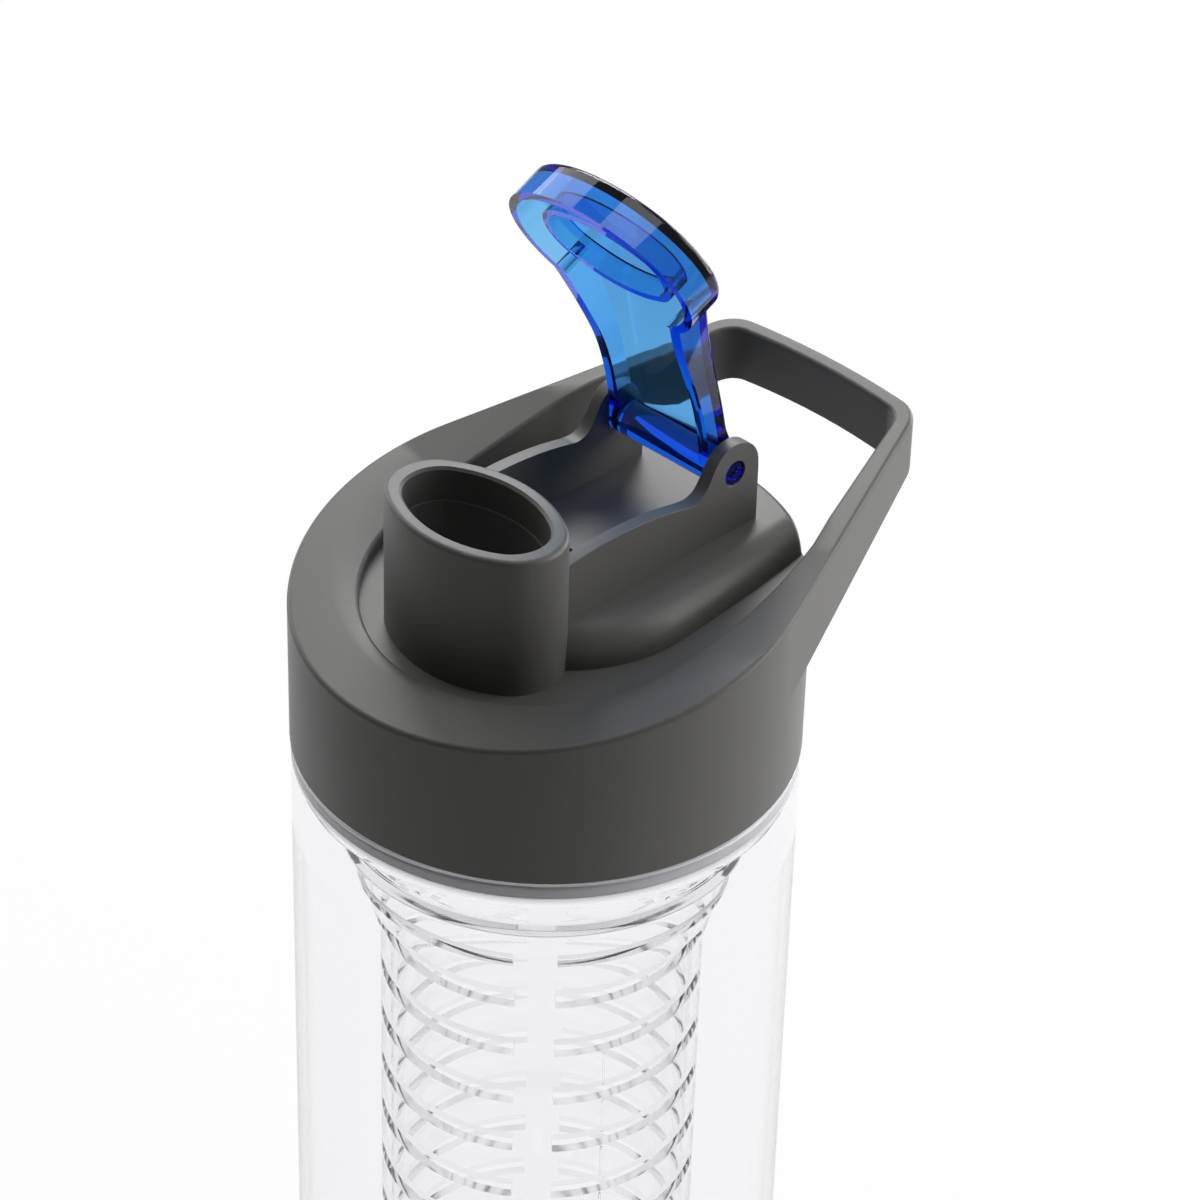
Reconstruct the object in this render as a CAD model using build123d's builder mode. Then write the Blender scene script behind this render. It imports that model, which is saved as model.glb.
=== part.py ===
from build123d import *
import os
from math import cos, radians, sin, sqrt, tan

os.makedirs("parts", exist_ok=True)

# Fruit infuser water bottle, in millimetres. The origin is the middle of the base and +Z is up.
# The drinking spout stands on the -Y side and the carry loop on the +Y side.

# Clearances shared by the pieces
overrun = 6.0
slide_gap = 0.3
seat_gap = 0.2
pin_gap = 0.05

# Bottle body, one thick-shouldered clear moulding
body_radius = 37.35
body_height = 190.0
body_wall = 1.8
base_thickness = 2.6
base_round = 5.0
base_bevel = 3.2
shoulder_thickness = 3.4
shoulder_round = 0.8
shoulder_bevel = 1.6
neck_bevel = 0.5
neck_step = 3.95
neck_wall = 2.8
neck_height = 13.4
lid_gap = 0.4

# Fruit tube that hangs by its flange in the neck
flange_thickness = 1.6
flange_lip = 1.4
neck_seal_thickness = 0.6
collar_gap = 1.1
collar_wall = 1.9
collar_length = 27.6
funnel_length = 18.9
funnel_step = 5.2
tube_wall = 1.5
tube_clearance = 31.3
slot_height = 2.4
slot_pitch = 9.2
slot_offset = 9.2
slot_columns = 4
slot_angle = 72.0
slot_turn = -4.0
funnel_radius_shares = (1.0, 0.45, 0.27, 0.0)
funnel_height_shares = (0.0, 0.54, 0.79, 1.0)

# Pull-off end cap of the fruit tube
base_cap_height = 5.0
base_cap_floor = 1.8
base_cap_bevel = 1.4
spigot_length = 6.0
spigot_wall = 1.4
drain_count = 8
drain_width = 2.4
drain_length = 9.0

# Lid shell: skirt, sloping rim band and deck
lid_overhang = 0.15
skirt_wall = 2.6
skirt_bevel = 0.4
rim_height = 28.41
rim_tilt = 10.15
rim_round = 0.8
rim_edge = 1.1
dish_width = 11.0
dish_depth = 2.7
dish_y = 6.0
ridge_width = 9.2
ridge_turn = 6.0
ridge_round = 0.7
deck_drop = 4.71
deck_tilt = 3.7
deck_wall = 2.2
groove_depth = 4.0
seal_wall = 2.6

# Carry loop, which runs on from the rim band
loop_taper = 20.2
loop_length = 20.0
loop_bow = 1.2
loop_round = 6.0
loop_root_drop = 12.0
loop_tilt = 17.2
finger_inset = 11.8
finger_taper = 17.9
loop_thickness = 2.5
finger_bow = 1.1
finger_round = 4.0

# Raised dome behind the spout, with the vent hole in its flat top
dome_rise = 1.1
dome_step = 5.7
dome_front_y = 5.0
dome_taper = 1.5
dome_round = 5.8
dome_back_round = 1.2
vent_y = 2.75
vent_radius = 1.5

# Oval drinking spout
spout_inset = 2.6
spout_rise = 5.6
spout_half_width = 15.4
spout_half_depth = 9.9
oval_end_share = 0.75
spout_bore_half_width = 12.5
spout_bore_half_depth = 7.6
spout_seat_depth = 5.4
spout_seat_step = 0.3
spout_round = 0.8

# Cheeks beside the flip cap and the hinge ears at their ends
cheek_inner_x = 10.5
cheek_thickness = 2.1
cheek_lap = 5.1
cheek_front_drop = 0.4
cheek_crown_y = 3.0
cheek_crown_rise = 0.2
hinge_inset = 12.9
hinge_rise = 9.7
ear_radius = 4.9
ear_lean = 60.8
ear_front_drop = 2.3
hinge_hole_radius = 2.0

# Flip cap, drawn closed and then turned open about its hinge
cap_open_angle = 64.0
cap_gap = 0.4
cap_wall = 1.4
cap_plate = 1.6
cap_depth = 6.3
cap_round = 0.9
crease_share = 0.715
arm_gap = 0.5
arm_flange = 2.0
arm_straight_share = 0.47
arm_bend_share = 0.983
arm_crown_share = 0.533
arm_crown_drop = 1.75
arm_end = 2.6
arm_end_rise = 3.0
flange_bend_share = 0.598
flange_crown_share = 0.299
flange_crown_rise = 0.15
barrel_radius = 2.9
plug_wall = 1.2
plug_gap = 0.4
plug_side_gap = 0.7
plug_reach = 3.3

# Silicone ring between the lid and the neck
gasket_thickness = 1.6
gasket_gap = 0.5

# Silicone valve under the vent hole
valve_radius = 3.6
valve_flange = 1.0
valve_stem_radius = 2.4
valve_length = 6.0
valve_lip_thickness = 0.9
valve_wall = 0.5
valve_slit = 0.2
boss_wall = 1.2
boss_height = 2.6

# Heights and planes that several pieces share
lid_z = body_height + lid_gap
lid_radius = body_radius + lid_overhang
neck_top_z = body_height + neck_height
neck_radius = body_radius - neck_step
neck_bore = neck_radius - neck_wall
flange_radius = neck_bore + flange_lip
collar_radius = neck_bore - collar_gap
tube_radius = collar_radius - funnel_step
seat_radius = flange_radius + slide_gap
funnel_top_z = neck_top_z - collar_length
tube_bottom_z = base_thickness + tube_clearance + base_cap_height
lid_bore = lid_radius - skirt_wall
seal_face_z = neck_top_z + 2 * seat_gap + gasket_thickness
cavity_radius = neck_radius - seal_wall
ridge_radius = lid_radius - rim_edge - ridge_width
deck_z = lid_z + rim_height - deck_drop
dome_z = lid_z + rim_height + dome_rise
dome_under_z = dome_z - deck_wall
hinge_y = lid_radius - hinge_inset
hinge_z = dome_z + hinge_rise
spout_y = spout_inset + spout_half_depth - ridge_radius
spout_top_z = hinge_z + spout_rise
cap_top_z = spout_top_z + cap_gap + cap_plate
cap_bottom_z = cap_top_z - cap_depth
rim_normal = (0, -sin(radians(rim_tilt)), cos(radians(rim_tilt)))
deck_normal = (0, -sin(radians(deck_tilt)), cos(radians(deck_tilt)))
loop_normal = (0, -sin(radians(loop_tilt)), cos(radians(loop_tilt)))
rim_plane = Plane(origin=(0, 0, lid_z + rim_height), x_dir=(1, 0, 0), z_dir=rim_normal)
deck_plane = Plane(origin=(0, 0, deck_z), x_dir=(1, 0, 0), z_dir=deck_normal)
hinge_axis = Axis((0, hinge_y, hinge_z), (-1, 0, 0))


def oval_side_radius(half_width, half_depth):
    """Return the radius of an oval's long sides, which run on into its ends without a corner."""
    end_radius = half_depth * oval_end_share
    return (half_width**2 + half_depth**2 - 2 * half_width * end_radius) / (2 * (half_depth - end_radius))


def oval(half_width, half_depth):
    """Return the spout's kind of oval, made of two long side arcs and two end arcs."""
    side_radius = oval_side_radius(half_width, half_depth)
    with BuildSketch() as plan:
        with Locations((0, side_radius - half_depth)):
            Circle(side_radius)
        with Locations((0, half_depth - side_radius)):
            Circle(side_radius, mode=Mode.INTERSECT)
        fillet(plan.vertices(), half_depth * oval_end_share)
    return plan.sketch


# Bottle body: a turned profile from the base centre round the outside and back down the inside.
# The neck has a counterbore in its mouth for the flange of the fruit tube.
seat_z = neck_top_z - flange_thickness - neck_seal_thickness
body_bore = body_radius - body_wall
shoulder_under_z = body_height - shoulder_thickness
with BuildPart() as bottle_body:
    with BuildSketch(Plane.XZ) as body_profile:
        with BuildLine():
            Polyline(
                (0, 0),
                (body_radius, 0),
                (body_radius, body_height),
                (neck_radius, body_height),
                (neck_radius, neck_top_z - neck_bevel),
                (neck_radius - neck_bevel, neck_top_z),
                (seat_radius, neck_top_z),
                (seat_radius, seat_z),
                (neck_bore, seat_z),
                (neck_bore, shoulder_under_z),
                (body_bore - shoulder_bevel, shoulder_under_z),
                (body_bore, shoulder_under_z - shoulder_bevel),
                (body_bore, base_thickness + base_bevel),
                (body_bore - base_bevel, base_thickness),
                (0, base_thickness),
                close=True,
            )
        make_face()
        outer_corners = body_profile.vertices().group_by(Axis.X)[-1].sort_by(Axis.Y)
        fillet(outer_corners[0], base_round)
        fillet(outer_corners[-1], shoulder_round)
    revolve(axis=Axis.Z)
bottle_body.part.label = "bottle_body"
export_step(bottle_body.part, "parts/bottle_body.step")

# Fruit tube: flange, wide collar, funnel and slotted tube in one turned profile
funnel_outer = [
    (tube_radius + (collar_radius - tube_radius) * width, funnel_top_z - funnel_length * drop)
    for width, drop in zip(funnel_radius_shares, funnel_height_shares)
]
funnel_inner = [(radius - tube_wall, z - tube_wall / 2) for radius, z in reversed(funnel_outer)]
slot_rows = int((funnel_top_z - tube_bottom_z - slot_offset - slot_pitch) / slot_pitch) + 1
wedge_reach = collar_radius + overrun
wedge_half = wedge_reach * tan(radians(slot_angle / 2))
with BuildPart() as slots:
    for row in range(slot_rows):
        row_z = funnel_top_z - slot_offset - row * slot_pitch - slot_height
        with BuildSketch(Plane.XY.offset(row_z)):
            with PolarLocations(0, slot_columns, start_angle=slot_turn):
                Polygon((0, 0), (wedge_reach, -wedge_half), (wedge_reach, wedge_half), align=None)
            Circle(wedge_reach, mode=Mode.INTERSECT)
        extrude(amount=slot_height)

with BuildPart() as infuser_tube:
    with BuildSketch(Plane.XZ):
        with BuildLine():
            Polyline(
                (collar_radius - collar_wall, neck_top_z),
                (flange_radius, neck_top_z),
                (flange_radius, neck_top_z - flange_thickness),
                (collar_radius, neck_top_z - flange_thickness),
                *funnel_outer,
                (tube_radius, tube_bottom_z),
                (tube_radius - tube_wall, tube_bottom_z),
                *funnel_inner,
                close=True,
            )
        make_face()
    revolve(axis=Axis.Z)
    add(slots.part, mode=Mode.SUBTRACT)
infuser_tube.part.label = "infuser_tube"
export_step(infuser_tube.part, "parts/infuser_tube.step")

# Silicone ring that the flange rests on, in the counterbore of the neck
with BuildPart() as neck_seal:
    with BuildSketch(Plane.XY.offset(seat_z)):
        Circle(flange_radius)
        Circle(neck_bore, mode=Mode.SUBTRACT)
    extrude(amount=neck_seal_thickness)
neck_seal.part.label = "neck_seal"
export_step(neck_seal.part, "parts/neck_seal.step")

# End cap of the fruit tube: a shallow cup with a spigot and a ring of drain slots
spigot_radius = tube_radius - tube_wall - slide_gap
with BuildPart() as infuser_base:
    with BuildSketch(Plane.XY.offset(tube_bottom_z - base_cap_height)):
        Circle(tube_radius)
    extrude(amount=base_cap_height)
    with BuildSketch(Plane.XY.offset(tube_bottom_z)):
        Circle(spigot_radius)
    extrude(amount=spigot_length)
    chamfer(infuser_base.edges().group_by(Axis.Z)[0], base_cap_bevel)
    chamfer(infuser_base.edges().group_by(Axis.Z)[-1], spigot_wall / 2)
    with BuildSketch(Plane.XY.offset(tube_bottom_z - base_cap_height + base_cap_floor)):
        Circle(spigot_radius - spigot_wall)
    extrude(amount=base_cap_height + spigot_length, mode=Mode.SUBTRACT)
    with BuildSketch(Plane.XY.offset(tube_bottom_z - base_cap_height)):
        with PolarLocations(tube_radius / 2, drain_count):
            SlotOverall(drain_length, drain_width)
    extrude(amount=base_cap_floor, mode=Mode.SUBTRACT)
infuser_base.part.label = "infuser_base"
export_step(infuser_base.part, "parts/infuser_base.step")

# Under the carry loop: what is cut away outside the round lid, up to the loop's rising underside
root_x = lid_radius * cos(radians(loop_taper))
root_y = lid_radius * sin(radians(loop_taper))
loop_corner_y = lid_radius + loop_length
loop_reach = loop_corner_y + loop_bow
corner_x = root_x - (loop_corner_y - root_y) * tan(radians(loop_taper))
loop_root_z = lid_z + rim_height - loop_root_drop
loop_plane = Plane(origin=(0, root_y, loop_root_z), x_dir=(1, 0, 0), z_dir=loop_normal)
with BuildPart() as under_loop:
    with BuildSketch(Plane.XY.offset(lid_z)):
        with Locations((0, root_y)):
            Rectangle(lid_radius * 2, loop_reach, align=(Align.CENTER, Align.MIN))
        Circle(lid_radius, mode=Mode.SUBTRACT)
    extrude(amount=rim_height + loop_reach)
    split(bisect_by=loop_plane, keep=Keep.BOTTOM)

# Finger opening of the loop, whose front is the round back of the lid
finger_front_x = lid_radius - finger_inset
finger_front_y = sqrt(lid_radius**2 - finger_front_x**2)
finger_back_y = loop_corner_y - loop_thickness
finger_reach = finger_back_y + finger_bow
finger_back_x = finger_front_x - (finger_back_y - finger_front_y) * tan(radians(finger_taper))
with BuildPart() as finger_opening:
    with BuildSketch(Plane.XY.offset(lid_z)) as finger_plan:
        with BuildLine():
            Polyline(
                (-finger_back_x, finger_back_y),
                (-finger_front_x, finger_front_y),
                (finger_front_x, finger_front_y),
                (finger_back_x, finger_back_y),
            )
            ThreePointArc((finger_back_x, finger_back_y), (0, finger_reach), (-finger_back_x, finger_back_y))
        make_face()
        fillet(finger_plan.vertices().group_by(Axis.Y)[-1], finger_round)
        Circle(lid_radius, mode=Mode.SUBTRACT)
    extrude(amount=rim_height + loop_reach)

# Pocket inside the rim band: a round front, slightly bulged sides and the loop's inner walls
ridge_x = ridge_radius * cos(radians(ridge_turn))
ridge_y = -ridge_radius * sin(radians(ridge_turn))
pocket_back_y = (finger_front_y + finger_back_y) / 2
pocket_back_x = finger_front_x - (pocket_back_y - finger_front_y) * tan(radians(finger_taper))
with BuildPart() as pocket:
    with BuildSketch(Plane.XY.offset(lid_z)):
        with BuildLine():
            front = ThreePointArc((-ridge_x, ridge_y), (0, -ridge_radius), (ridge_x, ridge_y))
            TangentArc(front @ 1, (finger_front_x, finger_front_y), tangent=front % 1)
            Polyline(
                (finger_front_x, finger_front_y),
                (pocket_back_x, pocket_back_y),
                (-pocket_back_x, pocket_back_y),
                (-finger_front_x, finger_front_y),
            )
            TangentArc(front @ 0, (-finger_front_x, finger_front_y), tangent=(front % 0) * -1)
        make_face()
    extrude(amount=rim_height + loop_reach)
    split(bisect_by=deck_plane, keep=Keep.TOP)

# Dome: a D-shaped plan with soft top edges, whose back lies on the lid's round back.
# Its cavity is the same plan drawn in by the deck's wall.
dome_radius = ridge_radius - dome_step
dome_back_x = dome_radius - dome_taper
with BuildPart() as dome:
    with BuildSketch(Plane.XY.offset(seal_face_z)) as dome_plan:
        with BuildLine():
            dome_front = ThreePointArc(
                (-dome_radius, dome_front_y), (0, dome_front_y - dome_radius), (dome_radius, dome_front_y)
            )
            TangentArc(dome_front @ 1, (dome_back_x, lid_radius), tangent=dome_front % 1)
            TangentArc(dome_front @ 0, (-dome_back_x, lid_radius), tangent=(dome_front % 0) * -1)
            Line((dome_back_x, lid_radius), (-dome_back_x, lid_radius))
        make_face()
        Circle(lid_radius, mode=Mode.INTERSECT)
    extrude(amount=dome_z - seal_face_z)
    fillet(dome.faces().sort_by(Axis.Z)[-1].edges().sort_by(Axis.Y)[:-1], dome_round)
    fillet(dome.faces().sort_by(Axis.Z)[-1].edges().sort_by(Axis.Y)[-1], dome_back_round)

# Room inside the lid: round above the seal wall, with the deck's slope as its ceiling, and a hollow
# under the dome
with BuildPart() as lid_room:
    with BuildSketch(Plane.XY.offset(seal_face_z)):
        add(dome_plan.sketch_local)
        offset(amount=-deck_wall, mode=Mode.REPLACE)
        Circle(cavity_radius, mode=Mode.INTERSECT)
    extrude(amount=dome_under_z - seal_face_z)
    fillet(lid_room.faces().sort_by(Axis.Z)[-1].edges().sort_by(Axis.Y)[:-1], dome_round - deck_wall)
with BuildPart() as lid_cavity:
    with BuildSketch(Plane.XY.offset(seal_face_z)):
        Circle(cavity_radius)
    extrude(amount=rim_height)
    split(bisect_by=deck_plane.offset(-deck_wall), keep=Keep.BOTTOM)
    add(lid_room.part)

# Cheek and ear in side view: a gently crowned top that dips and rises into the round ear
lean = radians(ear_lean)
ear_tangent_y = hinge_y - ear_radius * sin(lean)
ear_tangent_z = hinge_z + ear_radius * cos(lean)
ear_front_z = hinge_z - ear_front_drop
ear_front_y = ear_tangent_y - (ear_tangent_z - ear_front_z) / tan(lean)
cheek_foot_z = deck_z
cheek_front_y = spout_y + cheek_lap
cheek_front_z = hinge_z - cheek_front_drop
with BuildPart() as cheek:
    with BuildSketch(Plane.YZ.offset(cheek_inner_x)):
        with BuildLine():
            ThreePointArc(
                (cheek_front_y, cheek_front_z),
                (cheek_crown_y, hinge_z + cheek_crown_rise),
                (ear_front_y, ear_front_z),
            )
            Line((ear_front_y, ear_front_z), (ear_tangent_y, ear_tangent_z))
            ThreePointArc(
                (ear_tangent_y, ear_tangent_z),
                (hinge_y, hinge_z + ear_radius),
                (hinge_y + ear_radius, hinge_z),
            )
            Polyline(
                (hinge_y + ear_radius, hinge_z),
                (hinge_y + ear_radius, cheek_foot_z),
                (cheek_front_y, cheek_foot_z),
                (cheek_front_y, cheek_front_z),
            )
        make_face()
    extrude(amount=cheek_thickness)
    mirror(about=Plane.YZ)

# Lid shell. The skirt and loop are cut by the sloping rim plane, the rim band is dished, the pocket
# is sunk and the dome, spout and cheeks stand in it. The inside is opened from below.
def on_inner_rim(edge):
    """Tell whether an edge's middle lies on the inner top edge of the rim band and the loop."""
    middle = edge @ 0.5
    gap = min(pocket.part.distance_to(middle), finger_opening.part.distance_to(middle))
    depth = -rim_plane.to_local_coords(middle).Z
    return gap < seat_gap and depth < dish_depth + seat_gap and deck_plane.to_local_coords(middle).Z > seat_gap


dish_z = lid_z + rim_height + dish_y * tan(radians(rim_tilt))
dish_plane = Plane(origin=(0, dish_y, dish_z), x_dir=(1, 0, 0), z_dir=rim_normal)
dish_radius = lid_radius - rim_edge
spout_foot_z = deck_z - deck_wall
boss_radius = valve_radius + seat_gap + boss_wall
with BuildPart() as lid_shell:
    with BuildSketch(Plane.XY.offset(lid_z)) as lid_plan:
        with BuildLine():
            ThreePointArc((-root_x, root_y), (0, -lid_radius), (root_x, root_y))
            Line((root_x, root_y), (corner_x, loop_corner_y))
            ThreePointArc((corner_x, loop_corner_y), (0, loop_reach), (-corner_x, loop_corner_y))
            Line((-corner_x, loop_corner_y), (-root_x, root_y))
        make_face()
        fillet(lid_plan.vertices().group_by(Axis.Y)[-1], loop_round)
    extrude(amount=rim_height + loop_reach)
    split(bisect_by=rim_plane, keep=Keep.BOTTOM)
    fillet(lid_shell.faces().sort_by(Axis.Z)[-1].edges(), rim_round)
    add(under_loop.part, mode=Mode.SUBTRACT)
    add(finger_opening.part, mode=Mode.SUBTRACT)
    with Locations(dish_plane):
        Cone(
            bottom_radius=dish_radius - dish_width,
            top_radius=dish_radius,
            height=dish_depth,
            align=(Align.CENTER, Align.CENTER, Align.MAX),
            mode=Mode.SUBTRACT,
        )
    add(pocket.part, mode=Mode.SUBTRACT)
    fillet(lid_shell.edges().filter_by(on_inner_rim), ridge_round)
    add(dome.part)
    with BuildSketch(Plane.XY.offset(spout_foot_z)):
        with Locations((0, spout_y)):
            add(oval(spout_half_width, spout_half_depth))
    extrude(amount=spout_top_z - spout_foot_z)
    add(cheek.part)
    with BuildSketch(Plane.XY.offset(lid_z)):
        Circle(lid_bore)
    extrude(amount=seal_face_z - lid_z, mode=Mode.SUBTRACT)
    chamfer(lid_shell.edges().group_by(Axis.Z)[0], skirt_bevel)
    with BuildSketch(Plane.XY.offset(seal_face_z)):
        Circle(lid_bore)
        Circle(neck_radius, mode=Mode.SUBTRACT)
    extrude(amount=groove_depth, mode=Mode.SUBTRACT)
    add(lid_cavity.part, mode=Mode.SUBTRACT)
    with BuildSketch(Plane.XY.offset(seal_face_z)):
        with Locations((0, spout_y)):
            add(oval(spout_bore_half_width - spout_seat_step, spout_bore_half_depth - spout_seat_step))
    extrude(amount=spout_top_z - seal_face_z, mode=Mode.SUBTRACT)
    with BuildSketch(Plane.XY.offset(spout_top_z - spout_seat_depth)):
        with Locations((0, spout_y)):
            add(oval(spout_bore_half_width, spout_bore_half_depth))
    extrude(amount=spout_seat_depth, mode=Mode.SUBTRACT)
    with BuildSketch(Plane.XY.offset(dome_under_z - boss_height)):
        with Locations((0, vent_y)):
            Circle(boss_radius)
            Circle(boss_radius - boss_wall, mode=Mode.SUBTRACT)
    extrude(amount=boss_height)
    with BuildSketch(Plane.XY.offset(dome_under_z)):
        with Locations((0, vent_y)):
            Circle(vent_radius)
    extrude(amount=deck_wall, mode=Mode.SUBTRACT)
    with BuildSketch(Plane.YZ):
        with Locations((hinge_y, hinge_z)):
            Circle(hinge_hole_radius)
    extrude(amount=cheek_inner_x + cheek_thickness + overrun, both=True, mode=Mode.SUBTRACT)
    fillet(lid_shell.faces().filter_by(Axis.Z).sort_by(Axis.Z)[-1].outer_wire().edges(), spout_round)
    chamfer(lid_shell.faces().filter_by(Axis.Z).sort_by(Axis.Z)[-1].inner_wires()[0].edges(), spout_round / 2)
lid_shell.part.label = "lid_shell"
export_step(lid_shell.part, "parts/lid_shell.step")

# Silicone ring that the seal wall presses on the neck and on the flange of the fruit tube
with BuildPart() as lid_gasket:
    with BuildSketch(Plane.XY.offset(neck_top_z + seat_gap)):
        Circle(lid_bore - gasket_gap)
        Circle(cavity_radius - seat_gap, mode=Mode.SUBTRACT)
    extrude(amount=gasket_thickness)
lid_gasket.part.label = "lid_gasket"
export_step(lid_gasket.part, "parts/lid_gasket.step")

# Duckbill valve in the boss under the vent hole: a round flange whose stem flattens into two lips
lip_z = dome_under_z - valve_length
with BuildPart() as duckbill:
    with BuildSketch(Plane.YZ):
        with Locations((vent_y, 0)):
            Polygon(
                (-valve_stem_radius, dome_under_z - valve_flange),
                (-valve_lip_thickness / 2, lip_z),
                (valve_lip_thickness / 2, lip_z),
                (valve_stem_radius, dome_under_z - valve_flange),
                align=None,
            )
    extrude(amount=valve_radius, both=True)
    with BuildSketch(Plane.XY.offset(lip_z)):
        with Locations((0, vent_y)):
            Circle(valve_stem_radius)
    extrude(amount=valve_length, mode=Mode.INTERSECT)
with BuildPart() as duckbill_room:
    with BuildSketch(Plane.YZ):
        with Locations((vent_y, 0)):
            Polygon(
                (-vent_radius, dome_under_z),
                (-valve_slit / 2, lip_z),
                (valve_slit / 2, lip_z),
                (vent_radius, dome_under_z),
                align=None,
            )
    extrude(amount=valve_radius, both=True)
    with BuildSketch(Plane.XY.offset(lip_z)):
        with Locations((0, vent_y)):
            Circle(valve_stem_radius - valve_wall)
    extrude(amount=valve_length, mode=Mode.INTERSECT)
with BuildPart() as vent_valve:
    with BuildSketch(Plane.XY.offset(dome_under_z - valve_flange)):
        with Locations((0, vent_y)):
            Circle(valve_radius)
    extrude(amount=valve_flange)
    add(duckbill.part)
    add(duckbill_room.part, mode=Mode.SUBTRACT)
vent_valve.part.label = "vent_valve"
export_step(vent_valve.part, "parts/vent_valve.step")

# Flip cap, drawn closed: an oval head over the spout and a channel arm back to the hinge.
# The plan is the head's oval joined to the arm, whose sides curve in from the crease on the oval.
head_half_width = spout_half_width + cap_gap + cap_wall
head_half_depth = spout_half_depth + cap_gap + cap_wall
crease_half_width = head_half_width * crease_share
crease_y = spout_y + head_half_depth * sqrt(1 - crease_share**2)
cap_front_y = spout_y - head_half_depth - overrun
arm_back_y = hinge_y + barrel_radius
arm_half_width = cheek_inner_x - arm_gap
arm_length = hinge_y - crease_y
arm_bend_y = hinge_y - arm_length * arm_bend_share
arm_crown_y = hinge_y - arm_length * arm_crown_share
arm_straight_y = hinge_y - arm_length * arm_straight_share
flange_bend_y = hinge_y - arm_length * flange_bend_share
flange_crown_y = hinge_y - arm_length * flange_crown_share
arm_end_y = hinge_y - arm_end
arm_end_z = hinge_z + arm_end_rise
cap_height = cap_top_z - hinge_z + barrel_radius


def cap_plan(inset, arm_inset, back_y):
    """Return the cap's plan, drawn in by inset at the head and by arm_inset along the arm."""
    arm_x = arm_half_width - arm_inset
    crease_x = crease_half_width - arm_inset
    with BuildSketch() as plan:
        with Locations((0, spout_y)):
            Ellipse(head_half_width - inset, head_half_depth - inset)
        with BuildLine():
            TangentArc((arm_x, arm_straight_y), (crease_x, crease_y), tangent=(0, -1))
            TangentArc((-arm_x, arm_straight_y), (-crease_x, crease_y), tangent=(0, -1))
            Line((crease_x, crease_y), (-crease_x, crease_y))
            Polyline((-arm_x, arm_straight_y), (-arm_x, back_y), (arm_x, back_y), (arm_x, arm_straight_y))
        make_face()
    return plan.sketch


def arm_top(drop):
    """Return the cap's top line in side view, lowered by drop: flat over the spout, then falling."""
    with BuildLine() as top:
        Line((cap_front_y, cap_top_z - drop), (arm_bend_y, cap_top_z - drop))
        ThreePointArc(
            (arm_bend_y, cap_top_z - drop),
            (arm_crown_y, cap_top_z - arm_crown_drop - drop),
            (arm_end_y, arm_end_z - drop),
        )
    return top.line


outer_plan = cap_plan(0, 0, arm_back_y)
inner_plan = cap_plan(cap_wall, arm_flange, hinge_y - barrel_radius / 2)
outer_top = arm_top(0)
inner_top = arm_top(cap_plate)
core_bottom_z = hinge_z - barrel_radius - overrun
plug_half_width = spout_bore_half_width - plug_gap
plug_half_depth = spout_bore_half_depth - plug_side_gap
with BuildPart() as cap_core:
    with BuildSketch(Plane.XY.offset(core_bottom_z)):
        add(inner_plan)
    extrude(amount=cap_height + 2 * overrun)
    with BuildSketch(Plane.YZ):
        with BuildLine():
            add(inner_top)
            Polyline(
                (arm_end_y, arm_end_z - cap_plate),
                (arm_back_y, hinge_z),
                (arm_back_y, core_bottom_z),
                (cap_front_y, core_bottom_z),
                (cap_front_y, cap_top_z - cap_plate),
            )
        make_face()
    extrude(amount=head_half_width + overrun, both=True, mode=Mode.INTERSECT)

with BuildPart() as closed_cap:
    with BuildSketch(Plane.XY.offset(hinge_z - barrel_radius)):
        add(outer_plan)
    extrude(amount=cap_height + 2 * overrun)
    with BuildSketch(Plane.YZ):
        with BuildLine():
            add(outer_top)
            Line((arm_end_y, arm_end_z), (hinge_y, hinge_z + barrel_radius))
            ThreePointArc(
                (hinge_y, hinge_z + barrel_radius), (arm_back_y, hinge_z), (hinge_y, hinge_z - barrel_radius)
            )
            ThreePointArc(
                (hinge_y, hinge_z - barrel_radius),
                (flange_crown_y, hinge_z + flange_crown_rise),
                (flange_bend_y, cap_bottom_z),
            )
            Polyline((flange_bend_y, cap_bottom_z), (cap_front_y, cap_bottom_z), (cap_front_y, cap_top_z))
        make_face()
    extrude(amount=head_half_width + overrun, both=True, mode=Mode.INTERSECT)
    fillet(closed_cap.faces().sort_by(Axis.Z)[-1].edges(), cap_round)
    add(cap_core.part, mode=Mode.SUBTRACT)
    with BuildSketch(Plane.YZ):
        with Locations((hinge_y, hinge_z)):
            Circle(barrel_radius)
    extrude(amount=arm_half_width, both=True)
    with BuildSketch(Plane.YZ):
        with Locations((hinge_y, hinge_z)):
            Circle(hinge_hole_radius - pin_gap)
    extrude(amount=cheek_inner_x + cheek_thickness - slide_gap, both=True)
    with BuildSketch(Plane.XY.offset(cap_top_z - cap_plate - plug_reach)):
        with Locations((0, spout_y)):
            add(oval(plug_half_width, plug_half_depth))
            add(oval(plug_half_width - plug_wall, plug_half_depth - plug_wall), mode=Mode.SUBTRACT)
    extrude(amount=plug_reach)

with BuildPart() as flip_cap:
    add(closed_cap.part.rotate(hinge_axis, cap_open_angle))
flip_cap.part.label = "flip_cap"
export_step(flip_cap.part, "parts/flip_cap.step")
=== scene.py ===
from math import cos, pi, radians, sin

import bmesh
import bpy
from mathutils import Matrix, Quaternion, Vector


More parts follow.
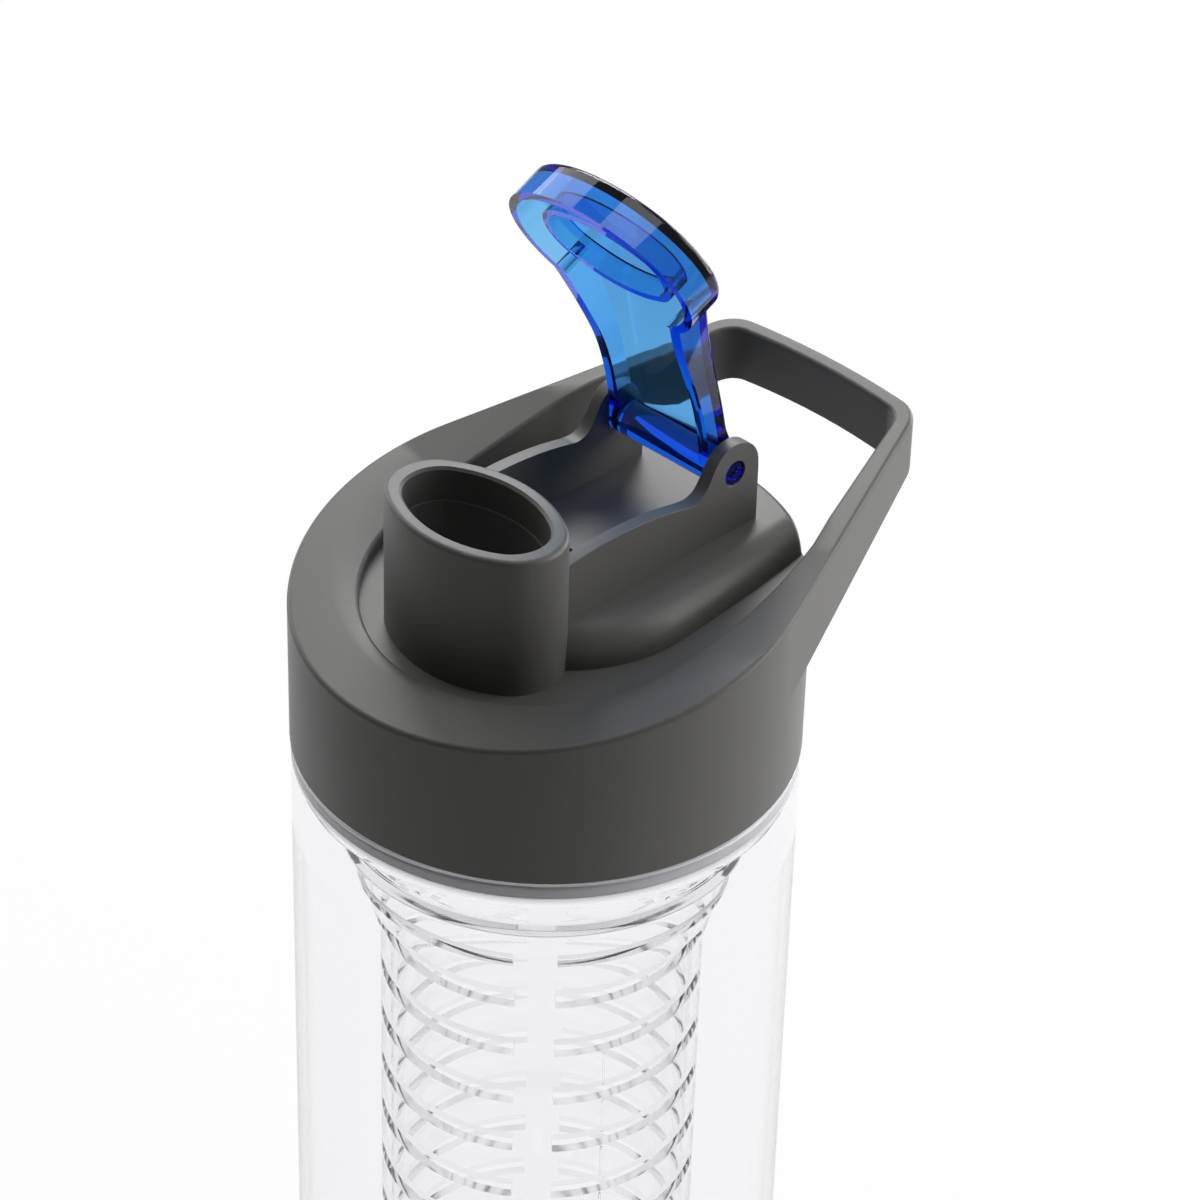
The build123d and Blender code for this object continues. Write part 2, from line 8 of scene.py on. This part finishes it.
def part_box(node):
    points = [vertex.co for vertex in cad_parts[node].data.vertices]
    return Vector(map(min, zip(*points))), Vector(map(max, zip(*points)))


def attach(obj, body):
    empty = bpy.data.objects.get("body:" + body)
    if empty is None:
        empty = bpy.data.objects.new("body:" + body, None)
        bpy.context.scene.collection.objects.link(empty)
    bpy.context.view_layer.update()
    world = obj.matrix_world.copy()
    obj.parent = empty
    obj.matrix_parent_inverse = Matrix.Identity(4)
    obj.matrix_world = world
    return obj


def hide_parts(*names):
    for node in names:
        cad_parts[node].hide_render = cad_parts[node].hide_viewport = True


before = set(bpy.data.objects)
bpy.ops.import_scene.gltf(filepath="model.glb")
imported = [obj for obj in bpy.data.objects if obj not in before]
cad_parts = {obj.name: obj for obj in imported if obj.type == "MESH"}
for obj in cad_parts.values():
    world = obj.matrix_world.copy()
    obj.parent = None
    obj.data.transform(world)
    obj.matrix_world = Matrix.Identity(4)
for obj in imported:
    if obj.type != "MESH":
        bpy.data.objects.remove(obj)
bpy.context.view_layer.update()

# The picture is taken from the right of the spout, looking down on the lid through a long lens, so
# that it takes in the lid and the top of the clear body. Sizes are in millimetres times mm.
mm = 0.001
lid_low, lid_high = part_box("lid_shell")
skirt_bottom = Vector((0, 0, lid_low.z))
view_from = Vector((371.6, -374.5, 391.1)) * mm + skirt_bottom
view_target = Vector((5.29, 5.10, 22.76)) * mm + skirt_bottom
view_roll = radians(1.66)
lens_length = 134.6
film_width = 36
camera = bpy.data.objects.new("camera", bpy.data.cameras.new("camera"))
bpy.context.scene.collection.objects.link(camera)
camera.data.lens = lens_length
camera.data.sensor_width = film_width
camera.location = view_from
camera.rotation_mode = "QUATERNION"
look = (view_target - view_from).to_track_quat("-Z", "Y")
camera.rotation_quaternion = look @ Quaternion((0, 0, 1), view_roll)
bpy.context.scene.camera = camera
bpy.context.scene.view_settings.view_transform = "Standard"


# The bottle stands on a white table in a white room. The camera, gloss and clear plastic see both as
# plain white, and the lamps alone light the object.
class Wire:
    """An output of a node. Sums written on it add Math nodes to the same material."""

    def __init__(self, tree, socket=None):
        self.tree = tree
        self.socket = socket

    def node(self, kind, settings, values, output=0):
        """Add a node, its settings first and then what its sockets hold, and return one output."""
        made = self.tree.nodes.new(kind)
        for name, setting in settings.items():
            setattr(made, name, setting)
        for name, value in values.items():
            if isinstance(value, Wire):
                self.tree.links.new(value.socket, made.inputs[name])
            else:
                made.inputs[name].default_value = value
        return Wire(self.tree, made.outputs[output]) if made.outputs else None

    def sum(self, operation, first, second):
        """Add a Math node."""
        return self.node("ShaderNodeMath", {"operation": operation}, {0: first, 1: second})

    def __add__(self, other):
        return self.sum("ADD", self, other)

    def __radd__(self, other):
        return self.sum("ADD", other, self)

    def __sub__(self, other):
        return self.sum("SUBTRACT", self, other)

    def __rsub__(self, other):
        return self.sum("SUBTRACT", other, self)

    def __mul__(self, other):
        return self.sum("MULTIPLY", self, other)

    def __rmul__(self, other):
        return self.sum("MULTIPLY", other, self)


def new_finish(name):
    """Start a material, and return it with a wire to build it from."""
    finish = bpy.data.materials.new(name)
    finish.use_nodes = True
    finish.node_tree.nodes.clear()
    return finish, Wire(finish.node_tree)


def set_surface(start, shader):
    """Lead a shader to its material's or world's output."""
    kind = "ShaderNodeOutputWorld" if start.tree == world.node_tree else "ShaderNodeOutputMaterial"
    start.node(kind, {}, {"Surface": shader})


gloss_share = 0.2


def seen_white(start):
    """Return how far a ray sees its surroundings as plain white: fully in the picture and through clear
    plastic, and a little in gloss.
    """
    camera_ray = start.node("ShaderNodeLightPath", {}, {}, "Is Camera Ray")
    glossy_ray = start.node("ShaderNodeLightPath", {}, {}, "Is Glossy Ray")
    clear_ray = start.node("ShaderNodeLightPath", {}, {}, "Is Transmission Ray")
    return start.sum("MAXIMUM", start.sum("MAXIMUM", camera_ray, clear_ray), glossy_ray * gloss_share)


room_light = 0.02
plain_white = (1, 1, 1, 1)
world = bpy.data.worlds.new("room")
bpy.context.scene.world = world
world.use_nodes = True
world.node_tree.nodes.clear()
room = Wire(world.node_tree)
room_strength = room_light + seen_white(room) * (1 - room_light)
room_look = {"Color": plain_white, "Strength": room_strength}
set_surface(room, room.node("ShaderNodeBackground", {}, room_look))

floor_size = 4.0
floor_grey = (0.7, 0.7, 0.7, 1)
floor_white = 0.9
floor_mesh = bmesh.new()
bmesh.ops.create_grid(floor_mesh, x_segments=1, y_segments=1, size=floor_size)
floor_data = bpy.data.meshes.new("floor")
floor_mesh.to_mesh(floor_data)
floor = bpy.data.objects.new("floor", floor_data)
bpy.context.scene.collection.objects.link(floor)
floor_finish, paint = new_finish("white_table")
lit_floor = paint.node("ShaderNodeBsdfDiffuse", {}, {"Color": floor_grey})
plain_floor = paint.node("ShaderNodeEmission", {}, {"Color": plain_white, "Strength": 1})
floor_look = {0: seen_white(paint) * floor_white, 1: lit_floor, 2: plain_floor}
set_surface(paint, paint.node("ShaderNodeMixShader", {}, floor_look))
floor_data.materials.append(floor_finish)

# Soft lamps stand beside and behind the bottle, as seen from the camera, and one hangs above it. Each has
# a name, its angle round the bottle from the spout, its height angle and its power. Clear plastic doesn't
# show the lamps themselves.
lamp_aim = skirt_bottom + Vector((0, 0, 20 * mm))
lamp_distance = 1.0
lamp_width = 0.55
for lamp_name, around, above, lamp_power in (
    ("right_low", 135, 8, 4.8),
    ("right_high", 135, 38, 2.8),
    ("rear_low", 180, 8, 5.6),
    ("rear_high", 225, 38, 6.6),
    ("left_low", 270, 8, 2.6),
    ("left_high", 270, 38, 2.2),
    ("overhead", 0, 90, 2.0),
):
    lamp_data = bpy.data.lights.new(lamp_name, "AREA")
    lamp_data.size = lamp_width
    lamp_data.energy = lamp_power
    lamp = bpy.data.objects.new(lamp_name, lamp_data)
    bpy.context.scene.collection.objects.link(lamp)
    lamp.visible_transmission = False
    reach = lamp_distance * cos(radians(above))
    across = reach * sin(radians(around))
    along = -reach * cos(radians(around))
    lamp.location = lamp_aim + Vector((across, along, lamp_distance * sin(radians(above))))
    lamp.rotation_euler = (lamp_aim - lamp.location).to_track_quat("-Z", "Y").to_euler()


# Bottle body: blown from a clear hard plastic in one piece, with a thick shoulder, milky at its edge, and
# a neck with a counterbore in its mouth for the fruit tube.
merge_reach = 0.01 * mm
ring_slack = 0.02 * mm


def turned(profile, steps):
    """Turn a closed outline of (radius, height) points about the bottle's axis."""
    shape = bmesh.new()
    points = [shape.verts.new((radius, 0, height)) for radius, height in profile]
    for first, second in zip(points, points[1:]):
        shape.edges.new((first, second))
    if profile[-1][0] > 0:
        shape.edges.new((points[-1], points[0]))
    outline = shape.verts[:] + shape.edges[:]
    bmesh.ops.spin(
        shape, geom=outline, cent=(0, 0, 0), axis=(0, 0, 1), angle=2 * pi, steps=steps, use_merge=True
    )
    bmesh.ops.remove_doubles(shape, verts=shape.verts, dist=merge_reach)
    bmesh.ops.recalc_face_normals(shape, faces=shape.faces)
    return shape


def on_ring(edge, radius, height):
    """Tell whether an edge is part of the ring at this radius and height."""
    for vert in edge.verts:
        if abs(vert.co.z - height) > ring_slack or abs(vert.co.xy.length - radius) > ring_slack:
            return False
    return True


def soften(shape, edges, width, segments):
    """Round some of a shape's edges off."""
    bmesh.ops.bevel(
        shape,
        geom=edges,
        offset=width,
        segments=segments,
        profile=0.5,
        affect="EDGES",
        material=-1,
        clamp_overlap=True,
    )


def finished(shape, name, finish, body, nodes, sharp=35):
    """Make a shape into a piece that rides on its body and stands for its nodes. Edges that turn by more
    than the angle sharp stay crisp, and the faces between them are shaded smooth.
    """
    for face in shape.faces:
        face.smooth = True
    for edge in shape.edges:
        edge.smooth = edge.calc_face_angle(0) < radians(sharp)
    data = bpy.data.meshes.new(name)
    shape.to_mesh(data)
    shape.free()
    piece = bpy.data.objects.new(name, data)
    bpy.context.scene.collection.objects.link(piece)
    data.materials.append(finish)
    flats = piece.modifiers.new("flats", "WEIGHTED_NORMAL")
    flats.keep_sharp = True
    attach(piece, body)
    if nodes:
        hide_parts(*nodes)
    return piece


def clear_plastic(name, tint, bending, roughness, ripple, haze=None):
    """Return clear moulded plastic of a tint, with the faint ripple that moulding leaves. Bending is how
    strongly it bends light. A haze of (height, depth) turns it milky over that depth below the height.
    """
    finish, start = new_finish(name)
    place = start.node("ShaderNodeTexCoord", {}, {}, "Object")
    swirl = start.node("ShaderNodeTexNoise", {}, {"Vector": place, "Scale": 60, "Detail": 2})
    bump = start.node("ShaderNodeBump", {}, {"Strength": ripple, "Distance": 0.2 * mm, "Height": swirl})
    shader = start.node(
        "ShaderNodeBsdfPrincipled",
        {},
        {
            "Base Color": tint,
            "Roughness": swirl * roughness + roughness / 2,
            "IOR": bending,
            "Transmission Weight": 1,
            "Normal": bump,
        },
    )
    if haze:
        height, depth = haze
        full = height - depth / 2
        milk_share = 0.85
        milk = (0.8, 0.8, 0.84, 1)
        high = start.node("ShaderNodeSeparateXYZ", {}, {0: place}, "Z")
        fade = {"Value": high, "From Min": height - depth, "From Max": full, "To Max": milk_share}
        milk_look = {"Base Color": milk, "Roughness": 0.3, "Transmission Weight": 0.25, "Normal": bump}
        milky = start.node("ShaderNodeBsdfPrincipled", {}, milk_look)
        misty = start.node("ShaderNodeMapRange", {"clamp": True}, fade)
        below = start.sum("LESS_THAN", high, height + 0.2 * mm)
        shader = start.node("ShaderNodeMixShader", {}, {0: misty * below, 1: shader, 2: milky})
    set_surface(start, shader)
    return finish


body_low, body_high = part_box("bottle_body")
body_radius = body_high.x
body_wall = 1.5 * mm
thick_wall = 2.3 * mm
thick_length = 12 * mm
base_thickness = 2.6 * mm
base_hollow = 1.2 * mm
foot_width = 6 * mm
foot_slope = 4 * mm
shoulder_top = skirt_bottom.z - 0.4 * mm
shoulder_thickness = 3.4 * mm
neck_radius = 33.4 * mm
neck_bore = 30.6 * mm
seat_radius = 32.3 * mm
seat_height = body_high.z - 2.2 * mm
body_steps = 160
body_tint = (0.962, 0.96, 0.972, 1)
body_bending = 1.45
body_haze = (shoulder_top, 3.2 * mm)
foot_inner = body_radius - foot_width
thinning = []
thinning_steps = 8
for step in range(1, thinning_steps + 1):
    share = step / thinning_steps
    thinned = (thick_wall - body_wall) * (1 - cos(pi * share)) / 2
    level = shoulder_top - shoulder_thickness - thick_length * share
    thinning.append((body_radius - thick_wall + thinned, level))
body_profile = (
    (0, base_hollow),
    (foot_inner - foot_slope, base_hollow),
    (foot_inner, 0),
    (body_radius, 0),
    (body_radius, shoulder_top),
    (neck_radius, shoulder_top),
    (neck_radius, body_high.z),
    (seat_radius, body_high.z),
    (seat_radius, seat_height),
    (neck_bore, seat_height),
    (neck_bore, shoulder_top - shoulder_thickness),
    (body_radius - thick_wall, shoulder_top - shoulder_thickness),
    *thinning,
    (body_radius - body_wall, base_thickness),
    (0, base_thickness),
)
bottle = turned(body_profile, body_steps)
# Each ring that is rounded off, from the hollow under the base round to the floor inside, with the width
# and the segments of its rounding
for ring, width, segments in (
    (body_profile[1], 1.5 * mm, 3),
    (body_profile[2], 1.2 * mm, 3),
    (body_profile[3], 4.8 * mm, 8),
    (body_profile[4], 0.8 * mm, 4),
    (body_profile[5], 0.6 * mm, 3),
    (body_profile[6], 0.4 * mm, 3),
    (body_profile[7], 0.2 * mm, 2),
    (body_profile[9], 0.4 * mm, 2),
    (body_profile[10], 0.8 * mm, 3),
    (body_profile[11], 1.6 * mm, 5),
    (body_profile[-2], 3.2 * mm, 6),
):
    soften(bottle, [edge for edge in bottle.edges if on_ring(edge, *ring)], width, segments)
clear_body = clear_plastic("clear_body_plastic", body_tint, body_bending, 0.02, 0.02, body_haze)
finished(bottle, "bottle_body_clear", clear_body, "bottle", ["bottle_body"])

# Neck thread: a rounded ridge that winds round the neck a turn and a quarter. It is part of the same
# clear moulding.
thread_pitch = 4 * mm
thread_depth = 1.1 * mm
thread_foot = 2.2 * mm
thread_turns = 1.25
thread_steps = 150
thread_section = ((-0.3, -1), (0.7, -0.6), (1, 0), (0.7, 0.6), (-0.3, 1))
neck_thread_rise = 4.2 * mm


def thread(radius, depth, start_height):
    """Wind a ridge round a wall of this radius, outwards, or inwards where its depth is below zero."""
    ridge = bmesh.new()
    points = []
    for out, up in thread_section:
        points.append(ridge.verts.new((radius + depth * out, 0, start_height + thread_foot / 2 * up)))
    ridge.faces.new(points)
    bmesh.ops.spin(
        ridge,
        geom=ridge.verts[:] + ridge.edges[:] + ridge.faces[:],
        cent=(0, 0, 0),
        axis=(0, 0, 1),
        dvec=(0, 0, thread_pitch * thread_turns / thread_steps),
        angle=2 * pi * thread_turns,
        steps=thread_steps,
    )
    bmesh.ops.recalc_face_normals(ridge, faces=ridge.faces)
    return ridge


neck_thread = thread(neck_radius, thread_depth, shoulder_top + neck_thread_rise)
finished(neck_thread, "neck_thread", clear_body, "bottle", [])


# Fruit tube: injection moulded from clear plastic, with a flange that hangs in the neck, a wide collar
# with a bead at its foot, a funnel and rows of long slots between four bars. The ledges of the slots and
# the bead's face are slightly matt, and their grey tint is painted shade for the darker things they
# reflect.
tube_low, tube_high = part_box("infuser_tube")
flange_radius = tube_high.x
flange_thickness = 1.6 * mm
flange_under = tube_high.z - flange_thickness
collar_length = 27.6 * mm
collar_radius = 28.7 * mm
bead_radius = 29.5 * mm
bead_height = 3.4 * mm
bead_bottom = tube_high.z - collar_length
bead_top = bead_bottom + bead_height
tube_radius = 24.3 * mm
tube_wall = 1.5 * mm
funnel_length = 18.9 * mm
funnel_shares = ((0.92, 0.0), (0.52, 0.15), (0.47, 0.36), (0.14, 0.64), (0.0, 0.85))
slot_height = 2.4 * mm
slot_pitch = 9.3 * mm
slot_drop = 6.6 * mm
first_slot = bead_bottom - slot_drop
column_angle = 90
slot_angle = 76
slot_turn = -2.1
slot_corner = 0.9 * mm
slot_rim = 0.25 * mm
tube_steps = 180
tube_tint = (1, 1, 1, 1)
# The ledges' grey tint is painted shade for the darker things they reflect, not the plastic's own colour.
ledge_painted_grey = (0.86, 0.86, 0.88, 1)
tube_bending = 1.15
tube = bmesh.new()
outline = [
    (flange_radius, flange_under),
    (collar_radius, flange_under),
    (collar_radius, bead_top),
    (bead_radius, bead_top - (bead_radius - collar_radius)),
    (bead_radius, bead_bottom),
]
for width_share, drop_share in funnel_shares:
    radius = tube_radius + (bead_radius - tube_radius) * width_share
    outline.append((radius, bead_bottom - funnel_length * drop_share))
outline.append((tube_radius, tube_low.z))
points = [tube.verts.new((radius, 0, height)) for radius, height in outline]
for first, second in zip(points, points[1:]):
    tube.edges.new((first, second))
bmesh.ops.spin(
    tube,
    geom=tube.verts[:] + tube.edges[:],
    cent=(0, 0, 0),
    axis=(0, 0, 1),
    angle=2 * pi,
    steps=tube_steps,
    use_merge=True,
)
first_turn = Matrix.Rotation(radians(slot_turn - slot_angle / 2), 3, "Z")
bmesh.ops.rotate(tube, cent=(0, 0, 0), matrix=first_turn, verts=tube.verts)
slot_top = first_slot
while slot_top - slot_height > tube_low.z + slot_pitch / 2:
    for cut in (slot_top, slot_top - slot_height):
        everything = tube.verts[:] + tube.edges[:] + tube.faces[:]
        bmesh.ops.bisect_plane(tube, geom=everything, plane_co=(0, 0, cut), plane_no=(0, 0, 1))
    middle = slot_top - slot_height / 2
    opened = []
    for face in tube.faces:
        centre = face.calc_center_median()
        turn = Vector((1, 0)).angle_signed(centre.xy) * -180 / pi - slot_turn
        from_middle = abs((turn + column_angle / 2) % column_angle - column_angle / 2)
        if abs(centre.z - middle) < slot_height / 2 and from_middle < slot_angle / 2:
            opened.append(face)
    bmesh.ops.delete(tube, geom=opened, context="FACES")
    slot_top -= slot_pitch
bmesh.ops.recalc_face_normals(tube, faces=tube.faces)
bmesh.ops.solidify(tube, geom=tube.faces[:], thickness=-tube_wall)
bmesh.ops.recalc_face_normals(tube, faces=tube.faces)


wall_slack = 0.5 * mm
crisp_angle = radians(50)


def across_wall(edge):
    """Tell whether an edge runs straight through the tube's wall."""
    first, second = edge.verts
    level = abs(first.co.z - second.co.z) < wall_slack
    deep = abs(first.co.xy.length - second.co.xy.length) > wall_slack
    return level and deep and edge.calc_face_angle(0) > crisp_angle


soften(tube, [edge for edge in tube.edges if across_wall(edge)], slot_corner, 3)
rims = [edge for edge in tube.edges if edge.is_manifold and edge.calc_face_angle(0) > crisp_angle]
soften(tube, rims, slot_rim, 2)
clear_tube = clear_plastic("clear_tube_plastic", tube_tint, tube_bending, 0.03, 0.03)
# Slot ledges and bead face: slightly matt, with a grey tint that is painted shade.
matt_painted_grey_tube, start = new_finish("matt_painted_grey_slot_edges")
place = start.node("ShaderNodeTexCoord", {}, {}, "Object")
scratches = start.node("ShaderNodeTexNoise", {}, {"Vector": place, "Scale": 700, "Detail": 3})
matt_painted_grey_look = {
    "Base Color": ledge_painted_grey,
    "Roughness": scratches * 0.1 + 0.1,
    "IOR": tube_bending,
    "Transmission Weight": 1,
}
set_surface(start, start.node("ShaderNodeBsdfPrincipled", {}, matt_painted_grey_look))
bead_slack = 0.1 * mm
ledge_level = 0.8
for face in tube.faces:
    middle = face.calc_center_median()
    on_bead = abs(middle.xy.length - bead_radius) < bead_slack and bead_bottom < middle.z < bead_top
    if on_bead or (abs(face.normal.z) > ledge_level and middle.z < bead_bottom):
        face.material_index = 1
tube_piece = finished(tube, "infuser_tube_clear", clear_tube, "infuser", ["infuser_tube"])
tube_piece.data.materials.append(matt_painted_grey_tube)

# Mould line: the fine raised line that the mould's joint leaves down the fruit tube's side, broken
# where it meets a slot.
line_angle = radians(-22.3)
line_width = 0.3 * mm
line_gap = 0.3 * mm
line_top = bead_bottom - funnel_length
mould_line = bmesh.new()
land_top = first_slot - slot_height
while land_top > tube_low.z:
    land_low = max(land_top + slot_height - slot_pitch, tube_low.z)
    if land_top < line_top:
        bar = bmesh.ops.create_cube(mould_line, size=1)["verts"]
        bar_height = land_top - land_low - 2 * line_gap
        bmesh.ops.scale(mould_line, vec=(line_width, line_width, bar_height), verts=bar)
        bmesh.ops.translate(mould_line, vec=(tube_radius, 0, (land_top + land_low) / 2), verts=bar)
    land_top -= slot_pitch
line_turn = Matrix.Rotation(line_angle, 3, "Z")
bmesh.ops.rotate(mould_line, cent=(0, 0, 0), matrix=line_turn, verts=mould_line.verts)
finished(mould_line, "infuser_mould_line", clear_tube, "infuser", [])


# End cap of the fruit tube: a shallow cup with drain slots, moulded from the same clear plastic and
# pushed into the tube's end.
copy_reach = 0.001 * mm


def joined_copy(node):
    """Copy a CAD node's mesh, with its loose triangles joined."""
    shape = bmesh.new()
    shape.from_mesh(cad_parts[node].data)
    bmesh.ops.remove_doubles(shape, verts=shape.verts, dist=copy_reach)
    return shape


def smooth_copy(node, name, finish, body):
    """Stand for a CAD node with a copy of it whose round faces are shaded smooth."""
    finished(joined_copy(node), name, finish, body, [node], 30)


smooth_copy("infuser_base", "infuser_base_clear", clear_tube, "infuser_cap")

# Silicone parts: the ring under the tube's flange, the lid's sealing ring and the duckbill valve, all
# pressed in milky, slightly see-through silicone.
silicone_milk = (0.78, 0.8, 0.8, 1)
silicone, start = new_finish("milky_silicone")
place = start.node("ShaderNodeTexCoord", {}, {}, "Object")
dust = start.node("ShaderNodeTexNoise", {}, {"Vector": place, "Scale": 900, "Detail": 3})
silicone_bump = start.node("ShaderNodeBump", {}, {"Strength": 0.15, "Distance": 0.05 * mm, "Height": dust})
silicone_look = {
    "Base Color": silicone_milk,
    "Roughness": dust * 0.2 + 0.35,
    "Transmission Weight": 0.35,
    "IOR": 1.41,
    "Normal": silicone_bump,
}
set_surface(start, start.node("ShaderNodeBsdfPrincipled", {}, silicone_look))
smooth_copy("neck_seal", "neck_seal_ring", silicone, "infuser")
smooth_copy("lid_gasket", "lid_gasket_ring", silicone, "seal_ring")
smooth_copy("vent_valve", "vent_valve_duckbill", silicone, "lid")

# Lid: moulded in one piece from warm grey plastic, with the fine spark texture of its mould and faint
# cloudy patches where hands have rubbed it. The edges of the two cheeks are rounded off.
lid_grey = (0.1, 0.098, 0.092, 1)
lid_worn = (0.13, 0.128, 0.12, 1)
lid_sheen = (0.85, 0.87, 1, 1)
lid_finish, start = new_finish("grey_lid_plastic")
place = start.node("ShaderNodeTexCoord", {}, {}, "Object")
grain = start.node("ShaderNodeTexNoise", {}, {"Vector": place, "Scale": 2600, "Detail": 2})
cloud = start.node("ShaderNodeTexNoise", {}, {"Vector": place, "Scale": 55, "Detail": 3})
wear = cloud * 0.5 + grain * 0.4 - 0.2
shade = start.node("ShaderNodeMix", {"data_type": "RGBA"}, {0: wear, 6: lid_grey, 7: lid_worn}, 2)
grain_bump = start.node("ShaderNodeBump", {}, {"Strength": 0.25, "Distance": 0.03 * mm, "Height": grain})
lid_look = {
    "Base Color": shade,
    "Roughness": cloud * 0.12 + grain * 0.1 + 0.34,
    "IOR": 1.46,
    "Sheen Weight": 0.12,
    "Sheen Roughness": 0.25,
    "Sheen Tint": lid_sheen,
    "Normal": grain_bump,
}
set_surface(start, start.node("ShaderNodeBsdfPrincipled", {}, lid_look))
cheek_inner = 10.5 * mm
cheek_outer = 12.6 * mm
hinge_y = 24.6 * mm
hinge_rise = 39.21 * mm
hinge_z = skirt_bottom.z + hinge_rise
cheek_floor = hinge_z - 8 * mm
cheek_edge = 0.45 * mm
cheek_slack = 0.05 * mm


def on_cheek(edge):
    """Tell whether an edge is an outline of a cheek or of its hinge ear."""
    for vert in edge.verts:
        side = abs(vert.co.x)
        in_cheek = cheek_inner - cheek_slack < side < cheek_outer + cheek_slack
        if not in_cheek or vert.co.z < cheek_floor:
            return False
    return edge.is_manifold and edge.is_convex and edge.calc_face_angle(0) > radians(60)


lid_shape = joined_copy("lid_shell")
bmesh.ops.dissolve_limit(
    lid_shape,
    angle_limit=radians(1),
    verts=lid_shape.verts,
    edges=lid_shape.edges,
    use_dissolve_boundaries=False,
)
soften(lid_shape, [edge for edge in lid_shape.edges if on_cheek(edge)], cheek_edge, 3)
finished(lid_shape, "lid_shell_grey", lid_finish, "lid", ["lid_shell"], 30)

# Ear roots: the hollow curves by which the lid's cheeks rise into the hinge ears. They are part of the
# same moulding.
ear_radius = 4.9 * mm
ear_lean = radians(60.8)
root_drop = 2.3 * mm
root_reach = 3.2 * mm
cheek_fall = radians(15.5)
root_top = hinge_z - root_drop
flank_top = Vector((0, hinge_y - ear_radius * sin(ear_lean), hinge_z + ear_radius * cos(ear_lean)))
flank = Vector((0, cos(ear_lean), sin(ear_lean)))
root_corner = flank_top - flank * ((flank_top.z - root_top) / sin(ear_lean))
along_cheek = Vector((0, -cos(cheek_fall), sin(cheek_fall)))
root_steps = 12
root_line = [root_corner]
for step in range(root_steps + 1):
    share = step / root_steps
    near_cheek = root_corner + along_cheek * root_reach * (1 - share)
    near_flank = root_corner + flank * root_reach * share
    root_line.append(near_cheek.lerp(near_flank, share))
for side_name, start_x in (("left", -cheek_outer), ("right", cheek_inner)):
    root = bmesh.new()
    corners = [root.verts.new(point + Vector((start_x, 0, 0))) for point in root_line]
    lifted = bmesh.ops.extrude_face_region(root, geom=[root.faces.new(corners)], use_keep_orig=True)
    moved = [part for part in lifted["geom"] if isinstance(part, bmesh.types.BMVert)]
    bmesh.ops.translate(root, verts=moved, vec=(cheek_outer - cheek_inner, 0, 0))
    bmesh.ops.recalc_face_normals(root, faces=root.faces)
    finished(root, "ear_root_" + side_name, lid_finish, "lid", [], 50)

# Lid thread: the same ridge as on the neck, inside the skirt, where it runs under the neck's ridge and
# holds the lid down. It is part of the lid's moulding.
skirt_bore = 34.9 * mm
lid_thread_rise = 2.2 * mm
lid_thread = thread(skirt_bore, -thread_depth, shoulder_top + lid_thread_rise)
finished(lid_thread, "lid_thread", lid_finish, "lid", [])

# Flip cap: moulded in one piece from blue plastic that one sees through, pale where it is thin and
# deep blue where one looks along its walls. It snaps into the hinge ears by two short pins.
cap_tint = (0.8, 0.93, 0.9, 1)
dye_blue = (0.02, 0.6, 0.965, 1)
dye_density = 980
cap_finish, start = new_finish("blue_cap_plastic")
place = start.node("ShaderNodeTexCoord", {}, {}, "Object")
swirl = start.node("ShaderNodeTexNoise", {}, {"Vector": place, "Scale": 90, "Detail": 2})
cap_bump = start.node("ShaderNodeBump", {}, {"Strength": 0.03, "Distance": 0.1 * mm, "Height": swirl})
cap_look = {
    "Base Color": cap_tint,
    "Roughness": swirl * 0.03 + 0.02,
    "IOR": 1.5,
    "Transmission Weight": 1,
    "Normal": cap_bump,
}
cap_shader = start.node("ShaderNodeBsdfPrincipled", {}, cap_look)
cap_dye = start.node("ShaderNodeVolumeAbsorption", {}, {"Color": dye_blue, "Density": dye_density})
start.node("ShaderNodeOutputMaterial", {}, {"Surface": cap_shader, "Volume": cap_dye})
smooth_copy("flip_cap", "flip_cap_blue", cap_finish, "flip")
